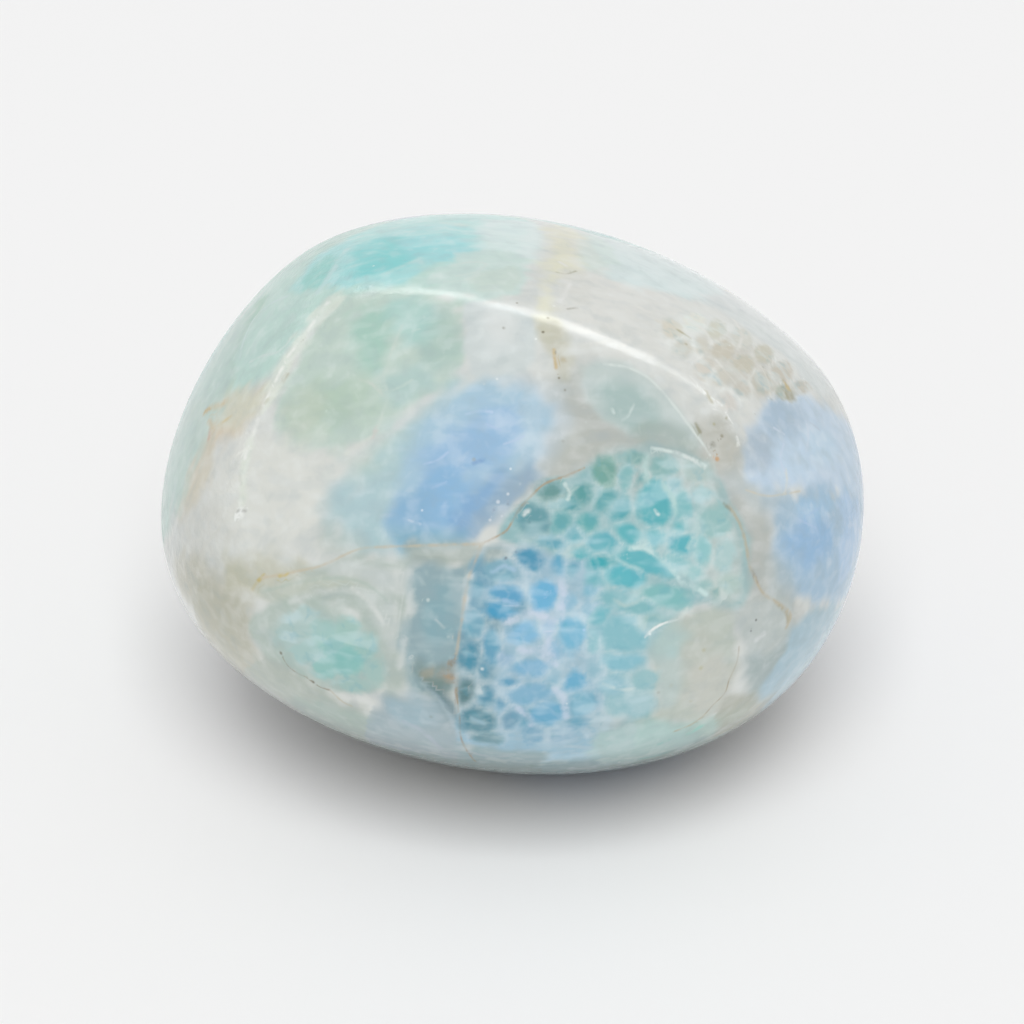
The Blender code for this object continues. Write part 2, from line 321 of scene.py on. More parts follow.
# Marks of the front, from the lowest layer up. Each patch: colour as it looks in soft light,
# strength, softness and wander of its edge in pixels, and its outline in picture pixels.
FRONT_PATCHES = (
    # milky upper right flank, its cream and khaki mesh, the pale rim over it
    ((222, 223, 218), .9, 26, 6, (575, 205, 660, 245, 745, 295, 815, 350, 800, 400, 735, 430, 700, 392,
     640, 352, 560, 318)),
    ((222, 225, 220), .8, 14, 6, (660, 326, 690, 300, 735, 312, 778, 340, 806, 372, 812, 402, 782, 412,
     752, 402, 738, 408, 722, 392, 704, 362, 676, 348)),
    ((185, 179, 163), .5, 9, 6, (700, 345, 735, 335, 765, 352, 790, 380, 775, 400, 745, 395, 720, 380)),
    ((211, 219, 218), .7, 9, 4, (716, 286, 760, 312, 800, 345, 832, 388, 815, 392, 790, 362, 756, 335,
     722, 312, 700, 298)),
    ((215, 230, 229), .95, 9, 4, (592, 232, 650, 246, 700, 268, 728, 290, 700, 300, 655, 290, 618, 280,
     600, 262)),
    ((203, 222, 213), .6, 8, 4, (575, 232, 602, 240, 616, 266, 596, 270, 576, 258)),
    # grey tan ground between the crest, the big net and the right blues
    ((183, 187, 182), .95, 13, 5, (516, 398, 552, 378, 590, 362, 602, 398, 640, 430, 690, 440, 706, 420,
     735, 432, 748, 455, 742, 480, 762, 505, 776, 540, 772, 580, 806, 612, 790, 640, 740, 632, 716, 560,
     690, 480, 640, 455, 590, 468, 545, 484, 512, 500, 498, 474, 530, 432)),
    ((187, 191, 184), .6, 12, 4, (548, 440, 584, 430, 614, 440, 640, 446, 606, 458, 566, 470, 540,
     476)),
    ((195, 194, 184), .7, 9, 4, (700, 420, 722, 424, 738, 446, 734, 470, 716, 474, 700, 450)),
    ((192, 201, 201), .8, 9, 4, (726, 468, 744, 474, 762, 492, 758, 512, 736, 500, 720, 482)),
    # upper left: turquoise flank, brighter band, its strongest part, pale strip under the rim
    ((188, 218, 209), .95, 14, 6, (158, 395, 185, 350, 225, 300, 265, 262, 310, 232, 370, 205, 440, 196,
     520, 204, 528, 226, 512, 262, 478, 292, 430, 296, 385, 300, 345, 308, 305, 338, 270, 372, 240, 398,
     200, 408)),
    ((161, 198, 178), .8, 9, 5, (205, 385, 220, 345, 240, 318, 268, 292, 262, 312, 242, 340, 232, 372,
     224, 392)),
    ((166, 219, 219), .9, 10, 5, (300, 288, 312, 262, 350, 238, 400, 224, 450, 222, 482, 230, 486, 248,
     462, 262, 430, 268, 404, 282, 370, 288, 340, 290)),
    ((122, 206, 206), .85, 8, 4, (352, 264, 358, 248, 384, 238, 410, 237, 428, 244, 424, 258, 400, 268,
     376, 275, 356, 276)),
    ((155, 218, 221), .7, 8, 3, (404, 238, 440, 234, 466, 240, 462, 256, 434, 262, 408, 258)),
    ((146, 205, 196), .7, 7, 3, (302, 286, 312, 268, 330, 256, 338, 262, 328, 278, 314, 292)),
    ((175, 223, 219), .85, 6, 3, (352, 236, 400, 220, 450, 214, 500, 216, 530, 222, 520, 234, 480, 228,
     440, 224, 396, 230, 360, 242)),
    ((216, 233, 231), .85, 12, 5, (480, 222, 530, 222, 548, 240, 536, 262, 504, 252, 480, 246)),
    ((200, 220, 214), .9, 8, 6, (436, 276, 462, 258, 500, 252, 528, 262, 524, 282, 500, 300, 466, 300,
     436, 292)),
    ((201, 215, 205), .6, 6, 4, (470, 278, 500, 268, 520, 272, 508, 286, 480, 292)),
    # khaki vein that crosses the crest
    ((223, 222, 199), .9, 9, 5, (546, 224, 572, 228, 580, 250, 570, 276, 556, 290, 552, 312, 560, 326,
     544, 332, 534, 318, 542, 292, 540, 266, 544, 246)),
    ((197, 196, 180), .85, 6, 4, (540, 322, 560, 326, 568, 344, 572, 366, 560, 376, 549, 366, 546, 346,
     534, 334)),
    ((214, 215, 209), .7, 10, 5, (560, 270, 590, 282, 596, 300, 574, 306, 556, 300)),
    # pale green patch of the worn face, its greener parts
    ((193, 211, 201), .95, 7, 5, (345, 297, 380, 290, 420, 292, 452, 302, 466, 320, 464, 356, 450, 384,
     424, 404, 398, 420, 366, 440, 330, 450, 294, 446, 272, 432, 274, 404, 292, 370, 312, 334)),
    ((168, 204, 191), .85, 14, 5, (352, 326, 372, 304, 392, 318, 392, 352, 372, 368, 352, 356)),
    ((176, 200, 191), .85, 10, 5, (418, 322, 440, 308, 460, 324, 458, 352, 440, 368, 418, 354)),
    ((173, 213, 208), .6, 12, 4, (388, 300, 420, 300, 436, 316, 420, 344, 396, 340)),
    ((182, 203, 186), .8, 14, 6, (318, 392, 340, 378, 368, 386, 376, 410, 356, 424, 322, 420)),
    ((177, 204, 201), .7, 10, 5, (384, 374, 420, 366, 438, 380, 420, 398, 394, 408)),
    ((191, 204, 188), .7, 12, 5, (282, 416, 300, 390, 322, 400, 316, 430, 294, 438)),
    # white matrix, left half
    ((219, 221, 215), .9, 22, 8, (232, 438, 262, 420, 300, 452, 360, 462, 398, 440, 392, 480, 352, 500,
     332, 540, 262, 552, 222, 538, 208, 490)),
    ((189, 207, 183), .6, 14, 5, (356, 462, 400, 434, 412, 452, 388, 480, 362, 486)),
    ((214, 199, 172), .8, 12, 6, (192, 404, 230, 396, 262, 388, 268, 402, 254, 424, 226, 444, 198,
     440)),
    ((208, 216, 201), .6, 12, 5, (214, 402, 252, 388, 268, 398, 258, 420, 232, 430, 216, 424)),
    ((206, 200, 180), .8, 12, 6, (188, 438, 204, 424, 214, 440, 210, 476, 198, 506, 184, 520, 178,
     486)),
    ((206, 208, 202), .7, 12, 5, (182, 516, 208, 500, 226, 520, 236, 560, 220, 580, 190, 568)),
    ((174, 189, 183), .6, 12, 5, (318, 532, 356, 524, 384, 534, 376, 552, 334, 556)),
    # white patch beside the green one
    ((207, 215, 214), .95, 4, 2, (466, 306, 500, 304, 528, 314, 536, 340, 530, 366, 500, 380, 474, 380,
     466, 352)),
    ((219, 223, 221), .8, 12, 3, (486, 310, 514, 314, 514, 340, 492, 346)),
    # pale band along the left crest: partly worn stone, partly painted highlight
    ((221, 228, 217), .75, 4, 5, (342, 290, 322, 304, 305, 325, 287, 350, 275, 374, 263, 398, 251, 426,
     242, 452, 237, 480, 235, 506, 246, 508, 249, 482, 254, 454, 263, 428, 274, 400, 286, 378, 299, 353,
     317, 329, 333, 309, 347, 297)),
    # blue ellipse of the worn face: halo, body, heart
    ((172, 202, 208), .85, 20, 6, (330, 500, 352, 470, 392, 436, 430, 400, 466, 384, 470, 420, 440, 480,
     430, 540, 388, 552, 344, 536)),
    ((198, 211, 218), .85, 14, 4, (520, 380, 552, 390, 568, 416, 562, 444, 540, 470, 516, 470, 524,
     430)),
    ((172, 201, 218), .95, 10, 4, (392, 520, 396, 474, 418, 430, 450, 397, 476, 383, 506, 383, 538, 394,
     552, 414, 545, 440, 526, 464, 500, 492, 478, 522, 460, 544, 424, 548, 398, 542)),
    ((152, 188, 220), .8, 12, 5, (420, 470, 452, 430, 488, 408, 518, 412, 524, 432, 498, 462, 470, 488,
     444, 510, 424, 500)),
    ((145, 186, 218), .85, 11, 5, (420, 488, 448, 466, 474, 470, 466, 502, 446, 524, 420, 528, 406,
     512)),
    ((131, 172, 210), .8, 9, 4, (462, 500, 486, 476, 506, 470, 500, 496, 484, 516, 466, 536, 452, 530)),
    ((144, 182, 210), .7, 12, 4, (398, 500, 412, 484, 430, 500, 426, 530, 402, 538)),
    ((136, 179, 195), .6, 8, 3, (398, 532, 440, 534, 466, 532, 456, 546, 420, 549, 398, 546)),
    # mottled zone between the ellipse and the brown seam
    ((152, 178, 198), .9, 8, 5, (494, 494, 516, 478, 530, 468, 540, 480, 520, 498, 502, 514, 488, 530,
     474, 538, 476, 518)),
    # grey green patch under the crest
    ((195, 207, 204), .95, 5, 2, (582, 366, 616, 362, 648, 376, 668, 394, 688, 422, 702, 448, 684, 446,
     658, 434, 628, 434, 604, 420, 586, 396)),
    ((169, 191, 188), .85, 8, 3, (600, 384, 630, 382, 652, 398, 660, 420, 640, 432, 616, 424, 600,
     404)),
    ((168, 181, 173), .7, 7, 3, (634, 430, 664, 424, 688, 436, 700, 448, 676, 450, 648, 446)),
    # right blues
    ((192, 212, 229), .95, 9, 4, (750, 442, 760, 408, 780, 396, 804, 396, 828, 406, 856, 432, 880, 470,
     876, 520, 840, 496, 800, 492, 768, 492, 746, 478)),
    ((173, 194, 211), .85, 6, 3, (762, 414, 778, 400, 800, 402, 804, 424, 790, 438, 768, 434)),
    ((177, 192, 204), .8, 7, 3, (746, 442, 762, 432, 774, 446, 768, 466, 750, 470)),
    ((199, 220, 236), .7, 10, 4, (776, 444, 800, 440, 816, 458, 806, 482, 780, 478)),
    ((191, 216, 232), .6, 8, 4, (806, 430, 832, 432, 838, 456, 818, 460)),
    ((167, 194, 214), .95, 9, 4, (782, 500, 812, 490, 846, 494, 874, 510, 868, 560, 850, 596, 820, 602,
     794, 592, 776, 566, 776, 528)),
    ((153, 188, 219), .85, 11, 4, (788, 524, 810, 508, 832, 520, 830, 552, 806, 566, 788, 552)),
    ((164, 200, 226), .6, 7, 3, (790, 502, 816, 496, 836, 502, 824, 516, 798, 516)),
    ((166, 190, 205), .6, 9, 4, (766, 494, 790, 490, 796, 520, 780, 532, 768, 516)),
    ((170, 184, 186), .6, 9, 4, (768, 560, 788, 562, 796, 588, 782, 600, 768, 590)),
    ((178, 205, 232), .7, 7, 4, (836, 500, 858, 500, 860, 540, 846, 576, 836, 552, 842, 524)),
    ((161, 176, 176), .9, 12, 5, (748, 636, 782, 628, 800, 640, 786, 676, 760, 706, 742, 690)),
    ((169, 194, 205), .95, 8, 4, (792, 624, 828, 604, 850, 606, 838, 650, 800, 690, 766, 716, 752, 706,
     768, 676, 786, 650)),
    ((189, 197, 194), .9, 9, 5, (730, 612, 756, 598, 786, 606, 792, 626, 776, 648, 746, 652, 732, 636)),
    # left lower flank: khaki, then pale green under it
    ((190, 189, 175), .8, 12, 5, (174, 556, 214, 566, 252, 572, 250, 596, 214, 606, 184, 600)),
    ((188, 188, 166), .6, 12, 6, (222, 562, 260, 558, 300, 560, 300, 582, 262, 600, 226, 600)),
    ((184, 184, 169), .95, 12, 5, (196, 590, 226, 588, 250, 596, 252, 640, 262, 676, 240, 688, 212,
     652)),
    # the next two, near the bottom edge, are darkened as painted shade
    ((175, 184, 175), .9, 9, 5, (244, 676, 270, 656, 300, 676, 340, 700, 372, 712, 380, 760, 320, 740,
     262, 706)),
    ((164, 181, 174), .8, 9, 5, (296, 700, 340, 706, 380, 716, 400, 750, 350, 752, 306, 730)),
    # quartz block with its growth bands
    ((177, 189, 182), .95, 7, 3, (262, 596, 296, 580, 330, 562, 366, 556, 392, 562, 410, 570, 412, 620,
     408, 690, 384, 700, 372, 650, 344, 612, 290, 604)),
    ((193, 199, 186), .8, 6, 3, (256, 590, 300, 580, 340, 574, 372, 580, 366, 590, 320, 590, 272, 602)),
    ((202, 209, 206), .8, 5, 2, (330, 564, 366, 562, 388, 570, 408, 572, 410, 590, 396, 594, 366, 580,
     332, 576)),
    ((199, 207, 204), .7, 6, 3, (356, 588, 376, 590, 396, 604, 398, 640, 388, 650, 372, 620)),
    # grey blue see-through part beside the nets, and the tan ground over it
    ((166, 177, 170), .9, 7, 4, (416, 548, 450, 546, 482, 546, 476, 562, 448, 572, 416, 562)),
    ((147, 173, 179), .95, 6, 4, (412, 570, 440, 562, 466, 566, 466, 600, 460, 640, 454, 684, 430, 696,
     408, 690, 404, 640, 410, 600)),
    ((141, 175, 183), .85, 10, 4, (426, 590, 446, 582, 458, 600, 450, 632, 432, 640, 422, 616)),
    ((114, 135, 128), .8, 9, 4, (412, 668, 436, 664, 452, 676, 450, 700, 462, 728, 446, 716, 424, 692)),
    ((96, 131, 141), .8, 7, 3, (424, 690, 444, 692, 460, 712, 462, 736, 444, 722)),
    # lower left turquoise patch with its pale ring
    ((177, 191, 183), .95, 5, 3, (250, 628, 262, 608, 290, 600, 328, 598, 352, 608, 374, 626, 386, 652,
     386, 690, 352, 694, 318, 684, 286, 664, 262, 650)),
    ((174, 192, 186), .9, 6, 4, (272, 632, 300, 614, 336, 612, 362, 626, 374, 648, 366, 678, 340, 688,
     310, 676, 284, 656)),
    ((148, 203, 194), .8, 8, 4, (312, 634, 340, 624, 362, 636, 366, 660, 346, 672, 322, 662)),
    ((118, 184, 178), .75, 6, 3, (332, 652, 348, 648, 358, 660, 348, 670, 334, 666)),
    # underside seen at the bottom edge, its colours darkened as painted shade
    ((160, 177, 183), .95, 12, 5, (376, 700, 412, 694, 444, 706, 466, 740, 476, 780, 420, 770, 376,
     752)),
    ((162, 186, 195), .8, 10, 4, (386, 702, 418, 696, 440, 716, 426, 730, 398, 722)),
    ((147, 171, 176), .95, 14, 5, (462, 748, 520, 738, 580, 726, 640, 716, 656, 738, 640, 772, 580, 790,
     500, 790, 464, 776)),
    ((185, 222, 242), .6, 8, 4, (540, 756, 580, 752, 610, 758, 596, 776, 552, 776)),
    ((160, 189, 181), .8, 9, 5, (636, 716, 700, 720, 742, 706, 760, 722, 700, 760, 640, 772)),
    ((169, 171, 157), .8, 8, 4, (716, 700, 748, 692, 770, 700, 744, 728, 716, 736)),
    # painted shade: a dark band along the bottom rim
    ((128, 155, 153), .75, 9, 4, (270, 706, 310, 724, 360, 740, 420, 752, 480, 760, 540, 762, 600, 756,
     640, 744, 690, 730, 700, 744, 640, 768, 560, 782, 460, 784, 380, 770, 310, 744, 262, 716)),
    # cream crystal
    ((188, 196, 187), .97, 5, 3, (646, 640, 680, 618, 700, 606, 726, 610, 740, 646, 728, 690, 704, 718,
     652, 718, 654, 686, 648, 664)),
    ((192, 196, 187), .6, 10, 5, (690, 640, 712, 636, 718, 660, 704, 680, 684, 690, 676, 668)),
    ((191, 208, 207), .6, 8, 3, (656, 660, 676, 652, 684, 676, 672, 706, 656, 704)),
    ((202, 203, 195), .7, 9, 5, (696, 666, 724, 652, 738, 668, 730, 696, 706, 712, 684, 702)),
    ((176, 207, 207), .6, 8, 5, (646, 640, 668, 626, 686, 634, 674, 654, 652, 660)),
    ((180, 207, 204), .65, 9, 5, (596, 734, 640, 722, 676, 724, 700, 738, 664, 754, 620, 764, 590,
     758)),
    # grounds of the two cellular nets: turquoise above, blue below
    ((148, 187, 190), .97, 5, 3, (500, 536, 514, 510, 530, 494, 548, 482, 574, 478, 584, 466, 612, 453,
     650, 447, 682, 456, 710, 471, 728, 500, 742, 522, 750, 562, 742, 602, 716, 606, 690, 608, 664, 622,
     646, 640, 650, 690, 650, 720, 620, 712, 600, 700, 596, 650, 592, 600, 560, 560, 520, 548)),
    ((175, 187, 184), .8, 12, 4, (604, 452, 650, 447, 690, 458, 712, 474, 704, 500, 660, 486, 620, 490,
     596, 470)),
    ((189, 199, 194), .8, 11, 4, (704, 480, 722, 500, 738, 530, 744, 570, 736, 600, 708, 600, 700, 560,
     706, 520)),
    ((151, 192, 200), .85, 9, 3, (594, 600, 640, 596, 660, 622, 646, 646, 648, 700, 640, 716, 604, 716,
     596, 660)),
    ((155, 188, 204), .97, 5, 3, (484, 548, 520, 546, 560, 560, 594, 562, 600, 600, 604, 650, 604, 700,
     596, 730, 580, 752, 530, 752, 490, 746, 462, 740, 458, 700, 460, 660, 466, 610, 474, 570)),
    ((97, 154, 177), .85, 6, 4, (478, 562, 504, 558, 522, 572, 526, 596, 514, 618, 486, 622, 470, 604)),
    ((91, 141, 157), .85, 6, 4, (462, 640, 480, 618, 496, 624, 498, 660, 490, 690, 498, 722, 486, 738,
     466, 730, 458, 692)),
    ((91, 158, 184), .7, 8, 4, (520, 688, 560, 682, 588, 676, 596, 704, 584, 726, 540, 730, 516, 712)),
    ((166, 178, 174), .9, 5, 4, (486, 548, 506, 546, 522, 552, 520, 564, 500, 566, 486, 560)),
)
for row in FRONT_PATCHES:
    patch(on_front, *row)

# The rest of the stone, which the picture doesn't show: the same minerals, in patches given by
# the side they look to, in degrees.
FAR_PATCHES = (
    ((203, 205, 198), .8, 40, 12, (120, 20, 150, 30, 180, 20, 190, -10, 165, -35, 130, -30, 110, -5)),
    ((186, 210, 203), .9, 16, 8, (-120, 20, -100, 35, -75, 20, -80, -5, -110, -20, -135, -5)),
    ((168, 205, 199), .8, 14, 6, (-118, 22, -104, 26, -95, 8, -108, -6, -122, 4)),
    ((190, 205, 219), .9, 14, 7, (-178, 42, -140, 48, -122, 34, -135, 18, -165, 14)),
    ((162, 189, 217), .85, 14, 6, (-165, 36, -142, 40, -134, 29, -150, 19, -168, 23)),
    ((172, 208, 203), .95, 6, 5, (140, 48, 168, 55, 190, 42, 192, 18, 175, 2, 150, 4, 136, 22)),
    ((184, 203, 220), .95, 10, 6, (100, 12, 122, 16, 130, -4, 122, -26, 98, -28, 88, -8)),
    ((160, 188, 215), .8, 12, 5, (104, 2, 118, 4, 120, -14, 106, -20, 98, -8)),
    ((200, 198, 182), .85, 14, 8, (-160, 12, -140, 14, -132, -6, -146, -28, -168, -22, -172, -4)),
    ((220, 222, 219), .85, 22, 8, (-100, -20, -60, -25, -50, -50, -90, -60, -125, -45)),
    ((180, 205, 196), .9, 12, 6, (150, -28, 190, -20, 200, -45, 170, -60, 140, -50)),
    ((158, 186, 214), .85, 14, 6, (20, -50, 70, -48, 80, -66, 30, -75, -10, -66)),
    ((192, 212, 207), .85, 16, 6, (-170, -52, -110, -48, -100, -66, -160, -74)),
    ((214, 214, 204), .8, 16, 6, (-60, -66, 30, -80, 120, -70, 160, -78, -120, -84)),
)
for row in FAR_PATCHES:
    patch(on_sides, *row)

# The nets: rounded cells of clear mineral with pale web between them. Each cell: place, half
# width, half height, turn in degrees, and its colour. The strength of the web differs.
TURQUOISE_CELLS = (
    (533, 521, 16, 14, 0, 105, 157, 165), (554, 493, 13, 10, 20, 107, 153, 150),
    (584, 496, 12, 9, -30, 87, 156, 156),
    (567, 503, 15, 8, 0, 81, 157, 162), (561, 521, 9, 11, 20, 102, 170, 175),
    (588, 524, 10, 10, 0, 100, 174, 177),
    (606, 471, 11, 15, -20, 120, 169, 158), (626, 476, 9, 12, 10, 138, 189, 191),
    (630, 459, 12, 6, 10, 131, 175, 171),
    (640, 480, 6, 8, 30, 86, 164, 167), (664, 468, 14, 9, 5, 142, 185, 183),
    (696, 472, 14, 11, 30, 184, 203, 199),
    (606, 500, 13, 10, 0, 98, 168, 172), (620, 510, 10, 13, 30, 90, 171, 180),
    (654, 505, 17, 21, 0, 94, 180, 188),
    (682, 505, 9, 15, 0, 136, 193, 197), (674, 484, 7, 7, 0, 156, 197, 202),
    (699, 493, 10, 9, 0, 173, 207, 209),
    (714, 523, 14, 16, 0, 154, 195, 194), (680, 527, 9, 8, 0, 113, 187, 193),
    (628, 533, 15, 9, 25, 96, 182, 190),
    (602, 543, 17, 11, 0, 103, 180, 191), (576, 536, 10, 8, 0, 122, 183, 193),
    (552, 543, 12, 6, 10, 108, 170, 187),
    (654, 537, 12, 9, 20, 110, 188, 197), (682, 544, 14, 11, 0, 94, 182, 193),
    (703, 550, 9, 14, 0, 150, 202, 205),
    (724, 555, 10, 16, 0, 179, 208, 208), (582, 553, 9, 5, 0, 70, 175, 185),
    (600, 563, 13, 9, -10, 63, 172, 182),
    (646, 562, 27, 10, 20, 103, 184, 193), (623, 577, 22, 10, 12, 96, 186, 197),
    (596, 579, 12, 9, 10, 121, 186, 195),
    (664, 596, 22, 10, 15, 136, 192, 192), (678, 562, 14, 8, 25, 146, 199, 203),
    (706, 585, 6, 5, 0, 162, 197, 195),
    (716, 592, 5, 4, 0, 141, 179, 175), (690, 570, 10, 6, 20, 159, 204, 205),
    (728, 585, 9, 10, 0, 181, 203, 197),
    (610, 597, 19, 8, 5, 136, 188, 195), (636, 606, 18, 8, 8, 135, 188, 192),
    (596, 614, 11, 10, 0, 115, 186, 197),
    (622, 634, 22, 17, 0, 143, 193, 202), (650, 622, 14, 7, -20, 154, 191, 188),
    (619, 662, 21, 8, 0, 143, 194, 207),
    (644, 680, 12, 9, 0, 159, 197, 201), (612, 685, 14, 10, 0, 156, 195, 206),
    (640, 704, 14, 8, 0, 174, 203, 208),
)
BLUE_CELLS = (
    (500, 570, 17, 10, 5, 136, 177, 192), (531, 558, 12, 10, 0, 76, 150, 181),
    (559, 565, 7, 10, 0, 93, 167, 198),
    (573, 568, 8, 8, 0, 92, 164, 185), (543, 596, 14, 14, 0, 112, 181, 217),
    (509, 595, 18, 9, 12, 105, 169, 204),
    (499, 611, 16, 9, 10, 83, 163, 200), (477, 590, 7, 8, 0, 116, 167, 187),
    (474, 625, 11, 14, 0, 129, 176, 194),
    (524, 633, 16, 12, 5, 139, 190, 220), (572, 633, 14, 19, 5, 125, 187, 214),
    (591, 611, 10, 10, 0, 112, 176, 202),
    (568, 603, 10, 10, 0, 151, 193, 213), (592, 592, 10, 8, 0, 126, 185, 205),
    (491, 645, 9, 18, 0, 110, 166, 192),
    (471, 656, 11, 16, 0, 88, 150, 172), (531, 668, 20, 8, -4, 129, 180, 210),
    (510, 682, 7, 6, 0, 102, 162, 192),
    (554, 676, 8, 8, 0, 155, 192, 208), (529, 695, 25, 9, -4, 138, 182, 206),
    (547, 713, 15, 12, 0, 119, 175, 204),
    (575, 683, 11, 11, 0, 113, 177, 207), (582, 702, 13, 13, 0, 145, 190, 208),
    (466, 690, 8, 13, 0, 98, 131, 135),
    (486, 700, 9, 11, 0, 98, 152, 174), (480, 720, 16, 12, 5, 96, 143, 156),
    (500, 706, 7, 9, 0, 98, 156, 184),
    (533, 735, 12, 8, 0, 124, 167, 191), (563, 737, 15, 8, 0, 159, 187, 203),
    (487, 738, 14, 6, 5, 118, 152, 160),
    (556, 650, 9, 8, 0, 152, 191, 215), (594, 640, 8, 14, 0, 148, 197, 205),
    (596, 668, 10, 12, 0, 151, 190, 203),
    (506, 658, 8, 7, 0, 156, 187, 210), (548, 628, 8, 7, 0, 171, 200, 223),
    (510, 718, 9, 9, 0, 118, 160, 182),
    (600, 722, 11, 9, 0, 177, 198, 205), (484, 668, 6, 8, 0, 92, 154, 178),
)
LEFT_CELLS = (
    (323, 630, 12, 9, 0, 168, 200, 196), (346, 632, 11, 9, 0, 165, 198, 191),
    (334, 647, 10, 8, 0, 152, 193, 192),
    (364, 646, 9, 11, 0, 158, 193, 187), (345, 661, 14, 11, 10, 143, 192, 188),
    (294, 634, 15, 10, -10, 175, 199, 196),
    (306, 652, 14, 9, 20, 170, 200, 197), (324, 668, 12, 7, 25, 148, 195, 190),
    (374, 672, 8, 10, 0, 165, 195, 190),
    (352, 684, 14, 6, 10, 163, 193, 188), (300, 618, 14, 6, -10, 183, 205, 202),
)
UPPER_RIGHT_CELLS = (
    (672, 330, 13, 9, 37, 216, 212, 197), (694, 322, 11, 9, 4, 228, 229, 218),
    (716, 330, 9, 10, 21, 209, 209, 193),
    (700, 345, 8, 8, 78, 213, 211, 199), (724, 350, 11, 11, 25, 205, 200, 184),
    (742, 338, 11, 10, 72, 211, 212, 202),
    (744, 364, 9, 12, 79, 202, 198, 181), (764, 354, 9, 10, 66, 199, 196, 178),
    (764, 382, 11, 11, 73, 198, 195, 181),
    (782, 372, 10, 12, 40, 201, 196, 182), (722, 376, 9, 12, 67, 210, 208, 197),
    (742, 390, 8, 8, 84, 205, 202, 191),
    (786, 392, 10, 8, 31, 160, 157, 130), (706, 368, 9, 11, 8, 216, 212, 201),
    (728, 402, 10, 10, 35, 214, 211, 204),
    (800, 388, 7, 11, 82, 198, 194, 181), (684, 346, 11, 9, 9, 209, 207, 195),
)
# A second net on the back, a little to the right, by the side it looks to.
BACK_CELLS = tuple((150 + 9.5 * i + 4.5 * (j % 2), 10 + 9.0 * j, 5.2, 4.8, 30 * i,
                    120 + 9 * ((i * 3 + j) % 4), 186 + 4 * ((i + j) % 4), 184 + 5 * ((2 * i + j) % 4))
                   for i in range(5) for j in range(5))

FAR_OFF = 9.0
nearest_gap = np.full(len(skin), FAR_OFF)      # millimetres to the nearest cell, then to the next
next_gap = np.full(len(skin), FAR_OFF)
web = np.zeros(len(skin))
cell_colour = ground.copy()
for place, cells, spread, strength in (
        (on_front, TURQUOISE_CELLS, 1.2, 0.85), (on_front, BLUE_CELLS, 1.1, 1.0),
        (on_front, LEFT_CELLS, 1.4, 0.15), (on_front, UPPER_RIGHT_CELLS, 1.05, 1.1),
        (on_sides, BACK_CELLS, 1.0, 1.3)):
    for x, y, half_width, half_height, turn, *colour in cells:
        some, gap = ellipse_gap(place, x, y, spread * half_width, spread * half_height, turn)
        gap = gap + 0.09 * wander[1][some] + 0.05 * wander[2][some]      # its uneven rim
        closer = gap < nearest_gap[some]
        next_gap[some] = np.where(closer, nearest_gap[some], np.minimum(next_gap[some], gap))
        nearest_gap[some[closer]] = gap[closer]
        web[some[closer]] = strength
        cell_colour[some[closer]] = light(colour)
# How deep inside a cell, and how far from being as near to a second cell, up to two millimetres.
inside_cell = np.clip(-nearest_gap, -2, 2)
to_next_cell = np.clip((next_gap - nearest_gap) / 2, 0, 2)

